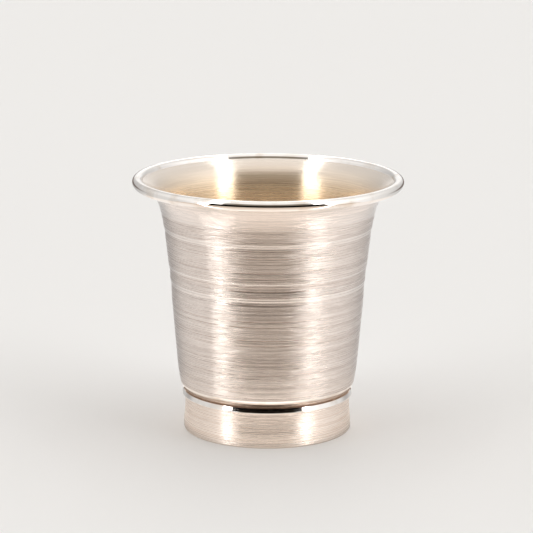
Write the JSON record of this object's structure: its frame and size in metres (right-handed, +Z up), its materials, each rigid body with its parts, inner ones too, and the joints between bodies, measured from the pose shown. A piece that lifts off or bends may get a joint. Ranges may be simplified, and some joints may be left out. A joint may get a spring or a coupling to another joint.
{
  "type": "tumbler",
  "caption": "Round metal drinking tumbler with a tapered brushed wall, a flared mouth with a rolled lip, a bright bevelled collar and a hollow foot.",
  "frame": {"origin": "centre of the plane that the foot stands on", "axes": "+Z up along the axis of the tumbler; X and Y are free, because the tumbler is round"},
  "size_m": [0.08, 0.08, 0.076],
  "materials": {
    "brushed_silver": "brushed around the axis",
    "polished_silver": "bright cut and polished",
    "satin_silver": "satin",
    "solder": "smooth silver solder"
  },
  "bodies": {
    "root": {"body_wall": "brushed_silver", "rim_wire": "satin_silver", "cup_floor": "satin_silver", "floor_solder": "solder", "bevel_collar": "polished_silver", "collar_solder": "solder", "foot_band": "brushed_silver", "foot_solder": "solder", "base_plate": "satin_silver", "base_solder": "solder"}
  },
  "joints": []
}
